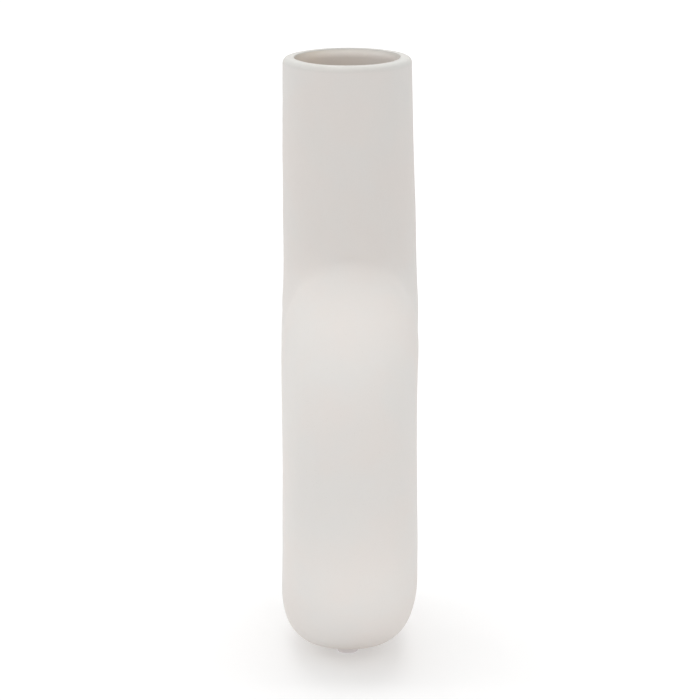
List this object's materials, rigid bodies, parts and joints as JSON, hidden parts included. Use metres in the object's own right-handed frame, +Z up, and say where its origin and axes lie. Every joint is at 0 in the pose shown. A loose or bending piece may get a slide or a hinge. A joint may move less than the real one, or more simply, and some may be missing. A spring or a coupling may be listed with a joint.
{
  "type": "ring bud vase",
  "caption": "Upright hollow ring vase with a straight open neck as wide as the ring's tube, a slightly flattened underside and small clear stick-on feet.",
  "frame": {"origin": "on the table, under the middle of the vase, at the level of the bumpers' flat bottoms", "axes": "+Z up along the neck; the ring stands in the YZ plane, so +X runs through the ring's hole and looking along +Y shows the vase edge-on"},
  "size_m": [0.0574, 0.172, 0.254],
  "materials": {
    "ceramic": "unglazed matte bisque, fine grained, warm off-white",
    "bumper": "clear soft polyurethane, slightly cloudy"
  },
  "bodies": {
    "root": {"vase_body": "ceramic", "front_bumper": "bumper", "rear_left_bumper": "bumper", "rear_right_bumper": "bumper"}
  },
  "joints": []
}
